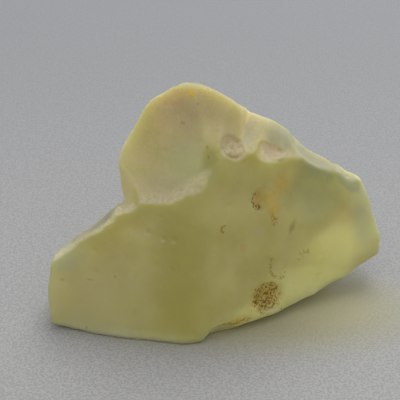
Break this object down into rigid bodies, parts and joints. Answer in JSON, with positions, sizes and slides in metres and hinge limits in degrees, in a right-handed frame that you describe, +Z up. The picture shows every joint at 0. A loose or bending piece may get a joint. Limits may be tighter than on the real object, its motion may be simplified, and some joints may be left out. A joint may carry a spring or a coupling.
{
  "type": "raw desert glass specimen",
  "caption": "Raw lump of translucent yellow-green desert glass, with a hollowed lobe over a long low body and a sand-worn matt skin.",
  "frame": {"origin": "on the table under the middle of the lump", "axes": "+X along the lump towards its thin raised end, +Y away from the broad front face, +Z up"},
  "size_m": [0.0434, 0.023, 0.0309],
  "materials": {
    "desert_glass": "matt, finely pitted by blown sand, milky inside, with rust-brown stains in a few pits"
  },
  "bodies": {
    "root": {"desert_glass": "desert_glass"}
  },
  "joints": []
}
